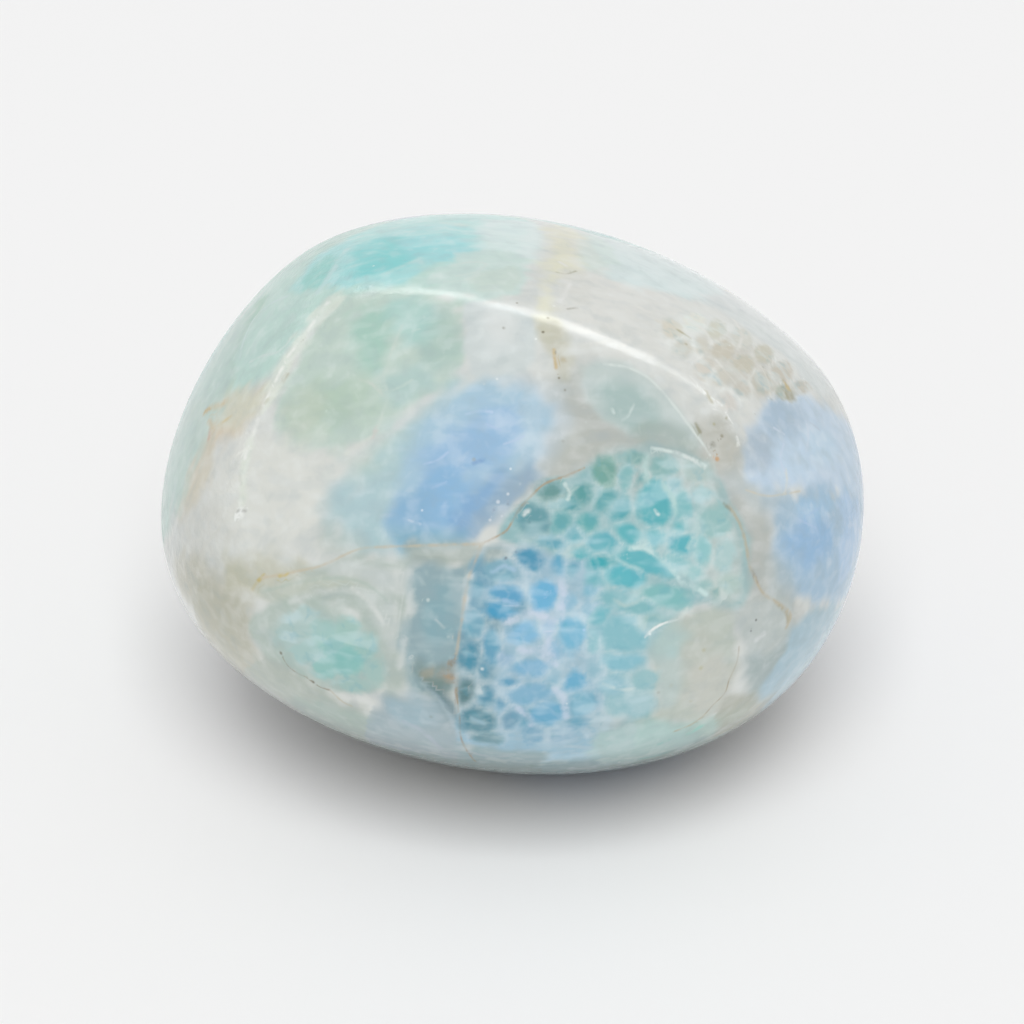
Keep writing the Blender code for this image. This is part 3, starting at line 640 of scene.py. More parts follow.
# Fine marks: lines and dots thinner than the grid. Each: half width in pixels, colour, strength,
# and the places it runs through; one place makes a dot.
BROWN, RUST, DARK = (180, 157, 126), (190, 150, 100), (112, 104, 84)
PALE, WHITE = (218, 226, 222), (238, 241, 238)
FRONT_LINES = (
    # brown seam over the turquoise net and down its left side
    (1.4, BROWN, .75, (584, 468, 566, 476, 546, 483, 533, 494, 520, 508, 515, 516, 507, 530, 496, 537,
     483, 543)),
    (2.0, (196, 184, 162), .6, (483, 543, 477, 557, 470, 575, 466, 592, 463, 610, 460, 630, 456, 655)),
    (8.0, (176, 150, 118), .75, (444, 673, 452, 677)),
    (4.0, (152, 122, 86), .7, (453, 663, 452, 672, 455, 682)),
    (6.0, (176, 170, 152), .5, (424, 674, 436, 670)),
    (1.4, (160, 142, 114), .7, (455, 680, 457, 698, 459, 716, 461, 738, 468, 752, 476, 762)),
    (1.7, (202, 190, 166), .6, (260, 578, 285, 574, 298, 571, 321, 566, 340, 557, 359, 549, 380, 547,
     410, 546, 446, 545, 483, 544)),
    (2.6, (196, 176, 104), .75, (252, 590, 258, 581, 264, 576)),
    (2.4, (204, 184, 110), .7, (279, 576, 287, 574)),
    # right vein
    (2.3, (190, 178, 152), .65, (728, 505, 740, 524, 746, 545, 749, 563, 756, 580, 763, 593, 773, 600,
     785, 608, 791, 616, 786, 628)),
    (2.6, (150, 130, 96), .6, (752, 570, 757, 582)),
    (2.8, (170, 158, 124), .6, (778, 604, 786, 612, 788, 622)),
    (2.4, (150, 140, 112), .6, (724, 504, 731, 509)),
    (1.4, (208, 204, 188), .8, (746, 490, 766, 496, 785, 494, 800, 491)),
    (2.0, (222, 222, 212), .8, (786, 470, 787, 480, 785, 493)),
    # crystal: crack, a bright curved line that is a painted highlight, streaks
    (1.1, (160, 146, 120), .65, (739, 646, 737, 662, 729, 680, 725, 693, 712, 706, 702, 718)),
    (1.4, WHITE, .95, (645, 637, 652, 630, 662, 624, 672, 621, 682, 619)),
    (1.3, (178, 160, 128), .6, (703, 716, 692, 724, 675, 731)), (2.4, (186, 182, 150), .6, (704, 650)),
    (2.6, (188, 186, 152), .6, (701, 668)),
    (2.4, (186, 184, 158), .5, (671, 686)), (2.2, (184, 180, 152), .5, (691, 701)),
    # pale rims: grey green patch, turquoise net, quartz block
    (1.7, PALE, .85, (604, 364, 626, 367, 646, 376, 662, 391, 676, 408, 688, 424, 700, 440, 710, 455)),
    (2.0, (220, 232, 228), .8, (652, 448, 672, 452, 690, 458, 706, 466)),
    (1.8, WHITE, .6, (676, 452, 692, 460, 704, 468)),
    (5.0, (212, 218, 216), .6, (409, 572, 410, 590, 408, 612, 404, 644, 400, 668)),
    (4.0, (212, 217, 213), .5, (396, 572, 397, 600, 394, 632)),
    (3.0, (222, 226, 222), .55, (352, 588, 362, 596, 374, 608, 384, 624)),
    (3.6, (214, 219, 215), .5, (290, 602, 310, 595, 334, 590, 356, 592, 372, 604)),
    (2.2, (176, 192, 184), .5, (262, 592, 300, 582, 340, 578, 366, 584, 386, 600)),
    # dark line under the lower left patch
    (2.2, DARK, .8, (281, 653)), (1.1, (150, 142, 118), .55, (283, 658, 288, 666, 297, 673, 306, 677)),
    (2.0, DARK, .8, (313, 682)),
    (1.1, (140, 132, 110), .6, (308, 679, 320, 687, 330, 690)), (1.8, DARK, .8, (329, 690)),
    (1.6, (184, 174, 146), .45, (332, 692, 343, 702, 352, 706)),
    # veins of the green patch and of the upper left
    (2.2, (206, 218, 210), .7, (402, 326, 394, 346, 388, 362, 384, 380, 388, 396, 383, 412, 378, 428)),
    (3.0, (212, 204, 200), .7, (376, 430, 372, 436)),
    (2.0, (210, 216, 208), .6, (384, 396, 372, 384, 360, 380)),
    (1.8, (200, 216, 208), .6, (388, 392, 402, 386, 412, 380)),
    (2.4, (216, 222, 214), .7, (372, 436, 358, 446, 346, 454)),
    (4.5, (198, 222, 222), .65, (346, 250, 340, 258, 333, 270, 325, 282, 318, 292)),
    (2.2, (202, 222, 220), .8, (288, 296, 270, 304, 256, 316, 247, 332, 242, 346, 240, 358)),
    (4.0, (206, 224, 221), .35, (384, 274, 398, 268, 412, 262, 420, 258)),
    (2.2, (190, 222, 226), .8, (396, 249)),
    (2.0, (208, 222, 218), .7, (250, 362, 262, 356, 278, 352, 290, 340)),
    (2.0, (206, 220, 214), .6, (452, 266, 470, 262, 486, 264, 476, 272, 456, 276)),
    (2.0, (206, 220, 214), .6, (444, 282, 466, 280, 484, 274)),
    # specks of the khaki vein, ochre, white streaks beside it
    (1.8, (120, 116, 92), .8, (504, 328)), (1.6, DARK, .8, (543, 332)), (1.6, DARK, .8, (556, 353)),
    (1.4, (130, 124, 104), .7, (559, 378)), (1.5, (130, 124, 104), .7, (565, 390)),
    (1.4, (140, 134, 116), .7, (517, 303)), (1.9, (150, 140, 110), .7, (548, 318)),
    (2.2, (204, 178, 124), .7, (554, 350, 556, 368)), (3.6, (190, 178, 150), .6, (563, 360)),
    (2.6, (228, 229, 226), .8, (570, 284, 566, 292, 560, 302)),
    (2.6, (228, 228, 224), .8, (560, 262, 566, 266)),
    (1.6, (160, 156, 130), .6, (556, 272, 566, 274, 576, 271)),
    (2.0, (160, 158, 146), .6, (568, 309, 577, 308)), (1.8, (238, 240, 236), .8, (554, 306)),
    # painted highlights: white dashes where the light line breaks along the worn left crest, a bright
    # spot at its lower end, and a few darker specks
    (3.6, (232, 237, 232), .95, (328, 303, 321, 311)),
    (3.2, (234, 238, 233), .95, (314, 322, 308, 331)),
    (3.0, (232, 236, 230), .95, (296, 346, 288, 356)),
    (3.0, (234, 237, 231), .95, (282, 368, 276, 380)),
    (3.0, (234, 236, 230), .95, (270, 392, 264, 404)),
    (3.2, (234, 236, 231), .95, (258, 420, 253, 434)),
    (2.8, (234, 236, 232), .95, (248, 448, 245, 458)), (2.2, (190, 190, 172), .7, (288, 374, 284, 382)),
    (1.6, (180, 186, 172), .6, (303, 340)),
    (3.0, WHITE, .95, (240, 503, 241, 516)), (1.8, WHITE, .9, (247, 509)), (2.0, WHITE, .8, (240, 484)),
    (1.6, WHITE, .8, (236, 512, 235, 520)),
    # rust and ochre on the left
    (5.0, (202, 174, 120), .8, (205, 412, 211, 408)), (5.0, (210, 190, 150), .6, (212, 408, 226, 402)),
    (4.5, (208, 188, 152), .6, (209, 420, 214, 430)), (2.0, (150, 118, 84), .85, (211, 423)),
    (4.0, (204, 178, 160), .7, (210, 432, 209, 438)),
    (2.6, (212, 196, 150), .6, (220, 424, 232, 416)), (2.2, (190, 186, 156), .7, (268, 400, 264, 404)),
    # painted highlights: bright dots along the right end of the crest, where its light line breaks up
    (2.2, WHITE, .9, (705, 393)), (1.5, WHITE, .8, (698, 386, 706, 392)), (1.9, WHITE, .9, (722, 405)),
    (1.4, WHITE, .7, (712, 398, 718, 402)), (1.7, WHITE, .85, (737, 437, 739, 445)),
    (1.4, WHITE, .7, (727, 415, 733, 424)), (1.5, (230, 232, 228), .6, (690, 376, 698, 384)),
    # right side specks, cream net dots, bits of white
    (3.2, (100, 98, 74), .8, (713, 445)), (2.2, (130, 124, 92), .7, (722, 436)),
    (2.6, (206, 158, 104), .8, (717, 459)), (2.2, (150, 150, 124), .7, (696, 424, 700, 432)),
    (1.6, (150, 148, 118), .6, (726, 418)),
    (4.0, (202, 182, 132), .8, (785, 383, 788, 388)), (1.6, (120, 118, 96), .7, (763, 367)),
    (1.5, (130, 128, 108), .7, (772, 399)), (1.5, (244, 246, 240), .8, (768, 398)),
    (2.6, (178, 174, 146), .6, (706, 392, 712, 402)),
    (1.6, (130, 128, 100), .7, (755, 414)), (1.5, (240, 242, 236), .8, (737, 446)),
    (2.4, (176, 172, 140), .7, (678, 330, 690, 338)), (2.0, (170, 166, 134), .6, (686, 344)),
    (2.0, (176, 172, 140), .6, (714, 424)),
    (3.0, (230, 231, 226), .7, (690, 320, 704, 330, 712, 344)),
    (2.4, (228, 228, 222), .7, (734, 320, 742, 334, 738, 350)),
    (2.2, (226, 226, 220), .7, (716, 360, 726, 372, 736, 384)),
    (2.0, (224, 224, 216), .7, (760, 366, 768, 380, 770, 394)),
    (3.0, (228, 228, 222), .6, (640, 308, 660, 316, 676, 312)),
    (2.0, (186, 200, 214), .6, (804, 418, 820, 430)), (1.8, (206, 218, 230), .8, (774, 428, 784, 434)),
    (2.0, (208, 220, 232), .7, (800, 408, 808, 430, 806, 452)),
    (1.8, (206, 218, 234), .6, (790, 480, 780, 460, 784, 444)),
    (1.6, (188, 206, 232), .6, (800, 520, 816, 528)), (1.6, (170, 198, 226), .6, (806, 516, 820, 508)),
    # light strokes in the blue ellipse, flecks round the seam
    (1.7, (196, 214, 236), .6, (466, 414, 480, 411, 492, 412)),
    (1.6, (188, 208, 232), .6, (424, 464, 438, 460, 448, 452)),
    (1.6, (190, 208, 230), .6, (504, 444, 516, 440, 524, 436)),
    (2.6, (134, 168, 206), .7, (474, 463, 484, 460)), (1.6, (184, 206, 230), .5, (432, 488, 446, 482)),
    (1.4, (184, 204, 230), .5, (486, 424, 500, 430)), (1.6, (206, 220, 232), .6, (408, 520, 420, 524)),
    (1.8, (214, 222, 228), .8, (498, 502)), (1.6, (214, 222, 228), .8, (508, 494)),
    (1.6, (216, 222, 226), .8, (490, 520)), (1.4, (216, 222, 226), .8, (502, 516)),
    (1.6, (210, 218, 224), .7, (520, 484)),
    (1.5, (150, 162, 176), .6, (494, 510)), (1.5, (150, 162, 172), .6, (508, 504)),
    (1.5, (232, 236, 236), .8, (497, 379)), (1.5, (222, 226, 222), .6, (484, 384)),
    # white flecks of the green patch and of the grey green one
    (1.8, (210, 226, 214), .8, (326, 411)), (1.6, (208, 222, 212), .8, (320, 434, 326, 434)),
    (1.7, (206, 224, 216), .8, (424, 317)), (1.3, (204, 220, 214), .7, (412, 331, 420, 329)),
    (1.5, (210, 222, 216), .7, (380, 386)),
    (1.8, (208, 222, 218), .8, (612, 409, 614, 413)),
    (1.7, (206, 220, 216), .8, (634, 404, 628, 416, 622, 420)), (1.4, (208, 220, 214), .6, (586, 422)),
    # glints inside cells, white strands of the nets
    (3.0, (226, 234, 232), .85, (524, 514, 529, 511)), (2.2, (78, 128, 134), .7, (529, 522)),
    (2.0, (216, 232, 230), .9, (655, 510, 658, 514)),
    (2.2, (214, 230, 226), .8, (565, 484, 570, 492, 568, 499)),
    (1.8, (214, 230, 226), .8, (570, 492, 578, 487)),
    (4.2, (192, 220, 216), .65, (647, 456, 644, 470, 648, 482)),
    (3.6, (192, 220, 216), .6, (662, 484, 672, 496, 676, 512)),
    (3.0, (206, 228, 226), .85, (630, 549, 640, 548, 650, 551, 660, 560, 672, 570, 682, 582, 696, 588,
     706, 594)),
    (3.8, (194, 220, 218), .6, (636, 522, 642, 530, 646, 540)),
    (2.6, (186, 216, 216), .6, (618, 560, 630, 566, 642, 570)),
    (3.2, (196, 220, 218), .6, (688, 548, 694, 534, 698, 518)), (2.0, (216, 232, 230), .7, (620, 543)),
    (2.6, (196, 212, 206), .5, (614, 600, 626, 606, 640, 600)),
    (2.6, (208, 222, 218), .7, (686, 610, 680, 618)),
    (2.2, (208, 222, 220), .7, (604, 684, 620, 690, 636, 688)),
    (5.0, (216, 226, 226), .8, (481, 691)), (2.0, (222, 230, 230), .8, (482, 669)),
    (1.6, (118, 124, 130), .7, (506, 558)), (1.6, (122, 126, 132), .7, (516, 552)),
    (1.4, (128, 132, 136), .6, (500, 566)),
    (5.5, (212, 220, 234), .7, (560, 582, 564, 596, 560, 610, 552, 618)),
    (5.5, (214, 221, 234), .7, (506, 622, 526, 614, 546, 616, 560, 618)),
    (4.5, (210, 219, 233), .6, (548, 640, 546, 656, 556, 664)),
    (5.0, (213, 220, 233), .6, (520, 650, 536, 652, 552, 656)),
    (2.6, (180, 206, 228), .5, (492, 572, 504, 566, 514, 570)), (1.6, (170, 206, 234), .8, (545, 594)),
    (1.6, (184, 212, 238), .8, (584, 630)), (2.2, (176, 202, 226), .5, (504, 600, 520, 604)),
    (2.6, (160, 190, 204), .5, (472, 718, 484, 724)),
    (4.6, (208, 217, 230), .6, (556, 690, 564, 700, 566, 716)),
    (4.2, (205, 215, 229), .6, (516, 708, 528, 716, 532, 724)),
    (1.8, (206, 218, 216), .7, (428, 600)), (1.8, (206, 218, 216), .7, (448, 637)),
    (1.6, (204, 216, 214), .7, (413, 658)), (1.6, (190, 204, 206), .6, (436, 620, 444, 628)),
    (3.4, (186, 204, 212), .35, (421, 682, 436, 696, 448, 712, 456, 727)),
    # white block, lower right: specks; chalky scar on the left, with a painted highlight on its
    # brightest spot
    (1.6, (110, 112, 110), .8, (756, 620)), (1.4, (130, 132, 130), .7, (751, 631)),
    (3.4, (216, 220, 220), .7, (756, 640, 764, 634)), (3.0, (240, 242, 238), .7, (240, 500, 242, 516)),
    (1.4, (170, 172, 168), .7, (238, 511, 246, 511)),
    (2.4, (180, 182, 168), .5, (240, 476, 241, 484)),
    (2.2, (234, 236, 230), .6, (236, 456, 244, 450, 252, 448)),
    (4.0, (146, 192, 184), .8, (660, 744, 668, 740)), (5.0, (150, 200, 190), .8, (690, 733, 700, 727)),
    (4.0, (132, 182, 174), .8, (640, 759, 656, 756, 668, 752)),
    (1.6, (190, 186, 160), .6, (716, 736, 740, 722, 760, 704)),
    (3.6, (180, 198, 206), .5, (520, 752, 556, 746, 590, 748)),
    (3.2, (180, 192, 198), .5, (470, 752, 486, 756, 510, 756)),
    (3.4, (182, 190, 200), .5, (404, 722, 424, 732, 440, 748)),
)
FAR_LINES = (
    (2.0, BROWN, .7, (134, 26, 140, 6, 152, 0, 172, -4, 190, 14, 196, 38)),
    (2.4, (190, 172, 140), .7, (120, 34, 128, 18, 132, 4, 126, -12, 132, -30, 140, -48)),
    (2.0, (200, 184, 150), .7, (-170, 20, -150, 18, -138, 10, -130, -8, -136, -26, -150, -40)),
    (3.0, RUST, .6, (-140, 8, -137, 2)), (3.4, (200, 178, 120), .6, (128, 6, 130, 0)),
    (2.2, PALE, .8, (-128, 30, -118, 18, -112, 2, -118, -14)),
    (2.2, PALE, .8, (-176, 44, -158, 40, -146, 34)),
    (2.2, (224, 228, 224), .7, (-96, -10, -80, -22, -70, -38)),
    (1.8, DARK, .7, (-150, -6)), (1.6, DARK, .7, (-146, -12)), (1.8, DARK, .7, (118, 20)),
    (2.2, BROWN, .6, (-60, -40, -30, -52, 10, -54, 50, -46)),
    (2.0, BROWN, .6, (90, -34, 120, -36, 150, -30, 180, -36)),
    (2.4, (226, 230, 226), .7, (-170, -10, -158, -2, -150, 6, -152, 18)),
    (2.0, (206, 196, 168), .6, (-110, -24, -136, -36, -160, -34, 170, -28)),
)
fine_offset = np.zeros((len(skin), 3))
fine_gap = np.full(len(skin), 8.0)      # in half widths of the line
fine_tint = np.zeros((len(skin), 4))
for place, lines in ((on_front, FRONT_LINES), (on_sides, FAR_LINES)):
    for half_width, colour, strength, knots in lines:
        line = smooth_line(place(knots), False, 3)
        size = half_width * MM / PIXELS_PER_MM
        heart = line.mean(axis=0)
        reach = np.linalg.norm(line - heart, axis=1).max() + LINE_SURROUND * size
        some = np.flatnonzero(np.linalg.norm(skin - heart, axis=1) < reach)
        offset = to_line(skin[some], line) / size
        gap = np.linalg.norm(offset, axis=1)
        closer = gap < fine_gap[some]
        fine_offset[some[closer]] = offset[closer]
        fine_gap[some[closer]] = gap[closer]
        fine_tint[some[closer]] = (*light(colour), strength)

# The colours above are as they look in the picture's soft light. The light on the skin there is
# about 0.95 + 0.12 n.v + 0.26 n.z - 0.13 n.z n.z, and the polish adds a little white, so both are
# taken out. The skin that faces the floor is then darkened: painted shade.
POLISH_WHITE = 0.035
HIDDEN_SIDE_LIGHT = 1.03
UNDERSIDE_PAINTED_SHADE = 0.55
upward, toward_eye = normals[:, 2], normals @ to_camera
lit = 0.947 + 0.125 * toward_eye + 0.255 * upward - 0.132 * upward ** 2
seen = fade(-0.1, 0.35, toward_eye)
lit = (HIDDEN_SIDE_LIGHT + (lit - HIDDEN_SIDE_LIGHT) * seen)[:, None]
# painted shade: darker where the skin faces the floor
under = 1 - UNDERSIDE_PAINTED_SHADE * fade(-0.35, -0.8, upward)[:, None]


def in_own_colour(colours):
    """Colour of the stone itself: what is seen less the polish, over the light less the polish, with
    painted shade on the skin that faces the floor.
    """
    return np.clip((colours - POLISH_WHITE) / (lit - POLISH_WHITE), 0.0, 0.9) * under


def write(name, kind, field, values):
    """Writes a value for every point into the mesh."""
    layer = mesh.attributes.new(name, kind, "POINT")
    layer.data.foreach_set(field, values.astype(np.float32).ravel())


opaque = np.ones((len(skin), 1))
for name, colours, cover in (("ground", ground, opaque), ("cell_colour", cell_colour, opaque),
                             ("fine_tint", fine_tint[:, :3], fine_tint[:, 3:])):
    write(name, "FLOAT_COLOR", "color", np.hstack([in_own_colour(colours), cover]))

# How near a crest is, and how chipped it is there: most on the left, some at the right end.
CREST_WIDTH = 0.45 * MM
two = np.sort(np.array(surface_reaches(directions)), axis=0)[:2]
crest = np.exp(-((two[1] - two[0]) / CREST_WIDTH) ** 2)
across = skin[:, 0] / MM
chips = np.maximum(fade(-4.0, -8.5, across), 0.7 * fade(8.0, 10.5, across))
chipped = crest * (0.12 + 0.88 * chips)
for name, values in (("inside_cell", inside_cell), ("to_next_cell", to_next_cell), ("web", web),
                     ("fine_gap", fine_gap), ("crest", crest), ("chipped", chipped)):
    write(name, "FLOAT", "value", values)
write("fine_offset", "FLOAT_VECTOR", "vector", fine_offset)

stone = bpy.data.objects.new("polished_stone", mesh)
bpy.context.scene.collection.objects.link(stone)

# The finish: the laid colours, clouded and flecked finely, under a high polish.
finish = bpy.data.materials.new("polished_stone")
finish.use_nodes = True
nodes, links = finish.node_tree.nodes, finish.node_tree.links
shader = nodes["Principled BSDF"]
place_node = nodes.new("ShaderNodeTexCoord").outputs["Object"]


def node(kind, inputs=(), **settings):
    """A new node with its settings, and for each named or numbered input a value or a link."""
    made = nodes.new("ShaderNode" + kind)
    for name, value in settings.items():
        setattr(made, name, value)
    for name, value in dict(inputs).items():
        if isinstance(value, bpy.types.NodeSocket):
            links.new(value, made.inputs[name])
        else:
            made.inputs[name].default_value = value
    return made


def laid(name, output):
    """A value laid on the mesh."""
    return node("Attribute", attribute_name=name).outputs[output]


def noise(size, detail=4.0, rough=0.55, warp=0.0, along=place_node):
    """Cloudy value of 0 to 1 with features near a size in millimetres."""
    return node("TexNoise", {"Scale": 1.0 / (size * MM), "Detail": detail, "Roughness": rough,
                             "Distortion": warp, "Vector": along}).outputs["Fac"]


def ramp(value, low, high, to_low=0.0, to_high=1.0):
    """Value carried smoothly from low..high to to_low..to_high."""
    return node("MapRange", {"Value": value, "From Min": low, "From Max": high, "To Min": to_low,
                             "To Max": to_high}, interpolation_type="SMOOTHSTEP").outputs["Result"]


def math_node(kind, *values):
    """One sum, product or other simple operation."""
    return node("Math", enumerate(values), operation=kind).outputs[0]


def vector_node(kind, *values):
    """One simple operation on places."""
    return node("VectorMath", enumerate(values), operation=kind)


def times(first, second):
    """Product of two values."""
    return math_node("MULTIPLY", first, second)


def mixed(share, under, over):
    """One colour over another."""
    over = (*over, 1.0) if isinstance(over, tuple) else over
    return node("Mix", {0: share, 6: under, 7: over}, data_type="RGBA").outputs[2]


# Cloudy ground: broad drifts of milk and shade, and finer ones drawn out like soft strokes.
base = laid("ground", "Color")
drawn = vector_node("MULTIPLY", place_node, (0.42, 1.0, 1.15)).outputs[0]
broad = noise(2.6, 5.0, 0.6, 0.5)
base = mixed(ramp(broad, 0.50, 0.72, 0.0, 0.10), base, (0.80, 0.82, 0.80))
base = mixed(ramp(broad, 0.28, 0.48, 0.14, 0.0), base, (0.30, 0.35, 0.34))
fine = noise(1.0, 2.5, 0.5, 0.3)
base = mixed(ramp(fine, 0.50, 0.70, 0.0, 0.15), base, (0.78, 0.82, 0.81))
base = mixed(ramp(fine, 0.28, 0.48, 0.16, 0.0), base, (0.28, 0.35, 0.37))
stroke = noise(0.8, 1.5, 0.5, 0.0, drawn)
base = mixed(ramp(stroke, 0.50, 0.68, 0.0, 0.10), base, (0.78, 0.82, 0.83))
base = mixed(ramp(stroke, 0.32, 0.50, 0.10, 0.0), base, (0.28, 0.36, 0.42))

# Cells: clear colour inside, blurred into the ground at the rim, with pale strands between cells
# and finer broken strands through the whole net.
inside = laid("inside_cell", "Fac")
ragged = times(math_node("SUBTRACT", noise(0.6, 2.0, 0.5, 0.5), 0.5), 0.65)
shade = ramp(math_node("ADD", inside, ragged), -0.30, 0.30, 0.0, 0.88)
base = mixed(shade, base, laid("cell_colour", "Color"))
milk = ramp(stroke, 0.48, 0.68, 0.0, 0.32)
depths = ramp(noise(0.65, 2.0, 0.5, 0.4), 0.30, 0.50, 0.26, 0.0)
base = mixed(times(milk, shade), base, (0.62, 0.76, 0.80))
base = mixed(times(depths, shade), base, (0.10, 0.34, 0.44))
web = times(ramp(inside, -0.50, -0.10), laid("web", "Fac"))
gap_noise = times(math_node("SUBTRACT", noise(0.5, 3.0, 0.6), 0.5), 0.34)
strand = ramp(math_node("ADD", laid("to_next_cell", "Fac"), gap_noise), -0.10, 0.34, 1.0, 0.0)
strand = times(times(strand, web), ramp(noise(1.2, 2.0), 0.36, 0.62, 0.15, 0.60))
pale = mixed(0.6, laid("ground", "Color"), (0.84, 0.87, 0.85))
base = mixed(strand, base, pale)
bend = node("TexNoise", {"Scale": 1.0 / (0.7 * MM), "Vector": place_node}).outputs["Color"]
bent = vector_node("MULTIPLY_ADD", bend, (0.7 * MM,) * 3, place_node).outputs[0]
crackle = node("TexVoronoi", {"Scale": 1.0 / (0.85 * MM), "Vector": bent},
               feature="DISTANCE_TO_EDGE").outputs["Distance"]
strand = times(ramp(crackle, 0.0, 0.22, 1.0, 0.0), ramp(noise(0.9, 2.0), 0.42, 0.62, 0.0, 0.15))
base = mixed(times(strand, web), base, pale)

# Fine lines and dots, broken here and there.
from_line = vector_node("LENGTH", laid("fine_offset", "Vector")).outputs["Value"]
waver = times(math_node("SUBTRACT", noise(0.5, 3.0), 0.5), 1.1)
line_share = ramp(math_node("ADD", from_line, waver), 0.0, 1.45, 1.0, 0.0)
line_share = times(line_share, ramp(laid("fine_gap", "Fac"), 1.6, 2.4, 1.0, 0.0))
line_share = times(line_share, ramp(noise(0.9, 3.0, 0.6), 0.38, 0.58, 0.35, 1.0))
line_share = times(line_share, laid("fine_tint", "Alpha"))
base = mixed(line_share, base, laid("fine_tint", "Color"))

# Tiny flecks, pale and dark, sparsely strewn. Each kind: its spacing and shift in millimetres,
# its colour and strength.
FLECKS = ((1.3, 0.0, (0.80, 0.83, 0.81), 0.45), (2.1, 3.7, (0.30, 0.29, 0.24), 0.40))
for spacing, shift, tint, share in FLECKS:
    shifted = vector_node("ADD", place_node, (shift * MM, shift * MM, 0.0)).outputs[0]
    strewn = node("TexVoronoi", {"Scale": 1.0 / (spacing * MM), "Vector": shifted})
    grain = node("SeparateColor", {"Color": strewn.outputs["Color"]})
    chosen = math_node("GREATER_THAN", grain.outputs["Red"], 0.84)
    dot = times(ramp(strewn.outputs["Distance"], 0.02, 0.07, 1.0, 0.0), chosen)
    base = mixed(times(dot, share), base, tint)

links.new(base, shader.inputs["Base Color"])
shader.inputs["Subsurface Weight"].default_value = 0.35
shader.inputs["Subsurface Radius"].default_value = (1.0, 1.0, 1.0)
shader.inputs["Subsurface Scale"].default_value = 1.0 * MM
gloss = ramp(noise(2.0, 3.0), 0.35, 0.65, 0.09, 0.15)
dull = times(laid("crest", "Fac"), 0.08)
links.new(math_node("ADD", gloss, dull), shader.inputs["Roughness"])
chips_height = times(noise(0.45, 3.0, 0.6), laid("chipped", "Fac"))
bump = node("Bump", {"Strength": 1.0, "Distance": 0.07 * MM, "Height": chips_height})
links.new(bump.outputs["Normal"], shader.inputs["Normal"])
mesh.materials.append(finish)
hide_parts("stone")
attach(stone, "root")

# The camera itself, once the stone's middle is known.
camera_data = bpy.data.cameras.new("camera")
SENSOR_WIDTH = 36.0
camera_data.sensor_width = SENSOR_WIDTH
camera_data.lens = SENSOR_WIDTH * CAMERA_DISTANCE / (PICTURE_SIDE / PIXELS_PER_MM * MM)
camera_data.clip_start = 0.01
camera = bpy.data.objects.new("camera", camera_data)
camera.location = eye + middle
camera.rotation_euler = (math.pi / 2 - LOOK_DOWN, 0.0, 0.0)
bpy.context.scene.collection.objects.link(camera)
bpy.context.scene.camera = camera

# The floor: a wide table top covered in matt white paper, and the white room around it, which is
# brighter overhead than near the floor. The polish shows the room at its full brightness.
FLOOR_WHITE = (0.86, 0.86, 0.86, 1.0)
ROOM_LOW = 0.256
ROOM_HIGH = 0.512
ROOM_MIRRORED = 0.92
floor_mesh = bpy.data.meshes.new("floor")
floor_mesh.from_pydata([(-1, -1, 0), (1, -1, 0), (1, 1, 0), (-1, 1, 0)], [], [(0, 1, 2, 3)])
floor = bpy.data.objects.new("floor", floor_mesh)
bpy.context.scene.collection.objects.link(floor)
floor_finish = bpy.data.materials.new("floor")
floor_finish.use_nodes = True
floor_shader = floor_finish.node_tree.nodes["Principled BSDF"]
floor_shader.inputs["Base Color"].default_value = FLOOR_WHITE
floor_shader.inputs["Roughness"].default_value = 0.9
floor_shader.inputs["Specular IOR Level"].default_value = 0.0
floor_mesh.materials.append(floor_finish)

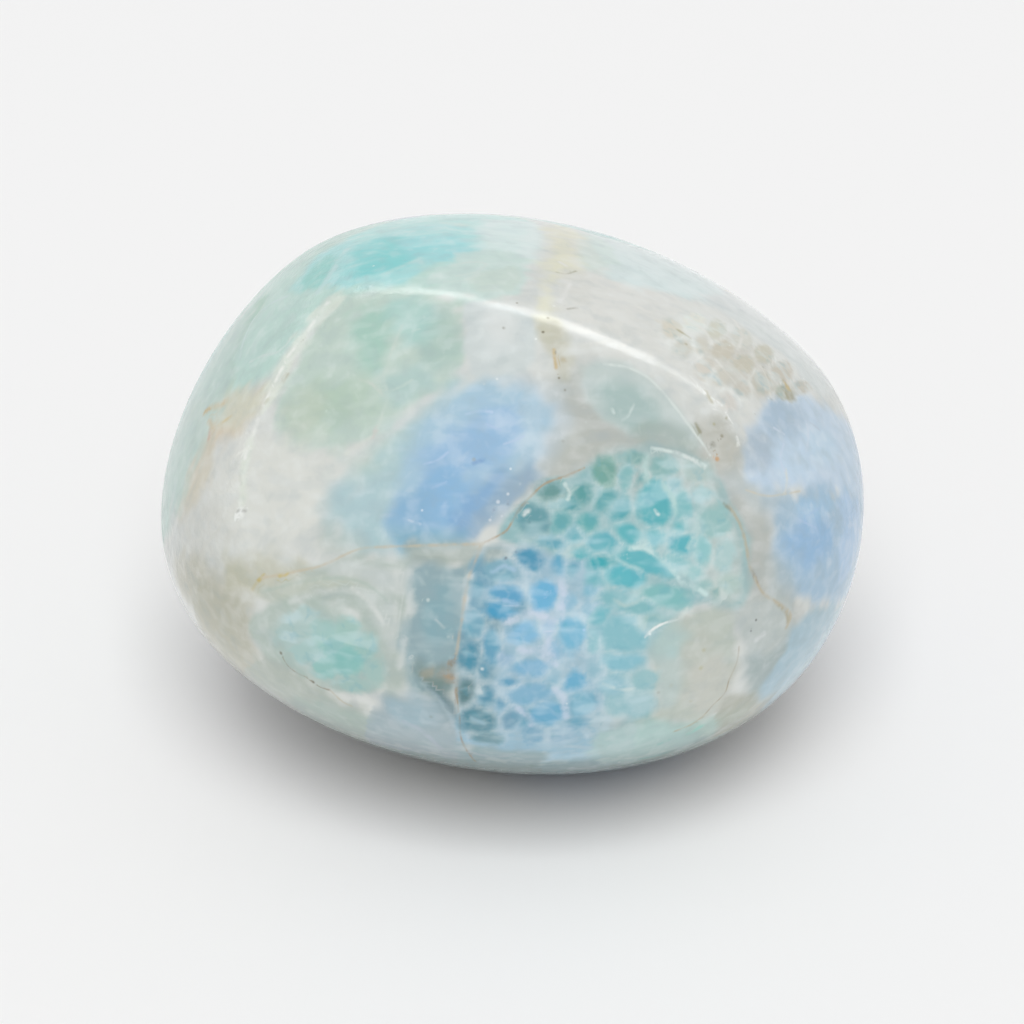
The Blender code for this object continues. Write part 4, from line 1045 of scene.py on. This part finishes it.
world = bpy.data.worlds.new("white_room")
world.use_nodes = True
world.node_tree.nodes["Background"].inputs["Color"].default_value = (1.0, 1.0, 1.0, 1.0)
room = world.node_tree
ROOM_TOP = 0.5      # how far up, as a share, the room's light still rises
ray_kind = room.nodes.new("ShaderNodeLightPath")
room_light = room.nodes.new("ShaderNodeMapRange")
room_light.inputs["To Min"].default_value = ROOM_MIRRORED
room_place = room.nodes.new("ShaderNodeTexCoord")
room_height = room.nodes.new("ShaderNodeSeparateXYZ")
room_rise = room.nodes.new("ShaderNodeMapRange")
room_rise.inputs["From Max"].default_value = ROOM_TOP
room_rise.inputs["To Min"].default_value = ROOM_LOW
room_rise.inputs["To Max"].default_value = ROOM_HIGH
room.links.new(room_place.outputs["Generated"], room_height.inputs[0])
room.links.new(room_height.outputs["Z"], room_rise.inputs["Value"])
room.links.new(room_rise.outputs["Result"], room_light.inputs["To Max"])
room.links.new(ray_kind.outputs["Is Diffuse Ray"], room_light.inputs["Value"])
room.links.new(room_light.outputs["Result"], room.nodes["Background"].inputs["Strength"])
bpy.context.scene.world = world
bpy.context.scene.view_settings.view_transform = "Standard"


# The lamps: soft boxes around the table, each a white cloth stretched over a frame with a lamp
# behind it. The large one lights the stone from the front, and the polish doesn't show it.
def soft_box(name, azimuth, tilt, distance, width, height, radiance, roll=0.0):
    """A rectangular lamp that faces the stone, rolled by some degrees about the line to it; its
    power is pi times area times radiance."""
    lamp = bpy.data.lights.new(name, "AREA")
    lamp.shape = "RECTANGLE"
    lamp.size, lamp.size_y = width, height
    lamp.energy = math.pi * width * height * radiance
    holder = bpy.data.objects.new(name, lamp)
    toward = looking(azimuth, tilt)
    holder.location = toward * distance + middle
    turn = Vector(toward).to_track_quat("Z", "Y") @ Quaternion((0, 0, 1), math.radians(roll))
    holder.rotation_euler = turn.to_euler()
    bpy.context.scene.collection.objects.link(holder)
    return holder


key = soft_box("front_key", 0.0, 56.0, 8.0, 5.0, 6.0, 5.0)
key.visible_glossy = False
# Narrow strips behind the stone, which only the polish shows: they draw the light line along the
# crest, and the last one the dashes down its left end. Each lamp's numbers: azimuth and tilt in
# degrees, distance, width and height in metres, radiance, roll.
for strip in (soft_box("crest_strip_left", -158.0, 52.0, 1.2, 0.46, 0.08, 9.0, -35.0),
              soft_box("crest_strip_top", 163.0, 64.0, 1.2, 0.46, 0.22, 5.0),
              soft_box("crest_strip_right", 129.0, 60.0, 1.2, 0.36, 0.28, 6.0, 49.0),
              soft_box("crest_strip_end", 108.0, 42.0, 1.2, 0.56, 0.07, 6.0, 53.0),
              soft_box("left_strip", -114.0, 22.0, 1.2, 0.97, 0.06, 4.5, -32.0)):
    strip.visible_diffuse = False
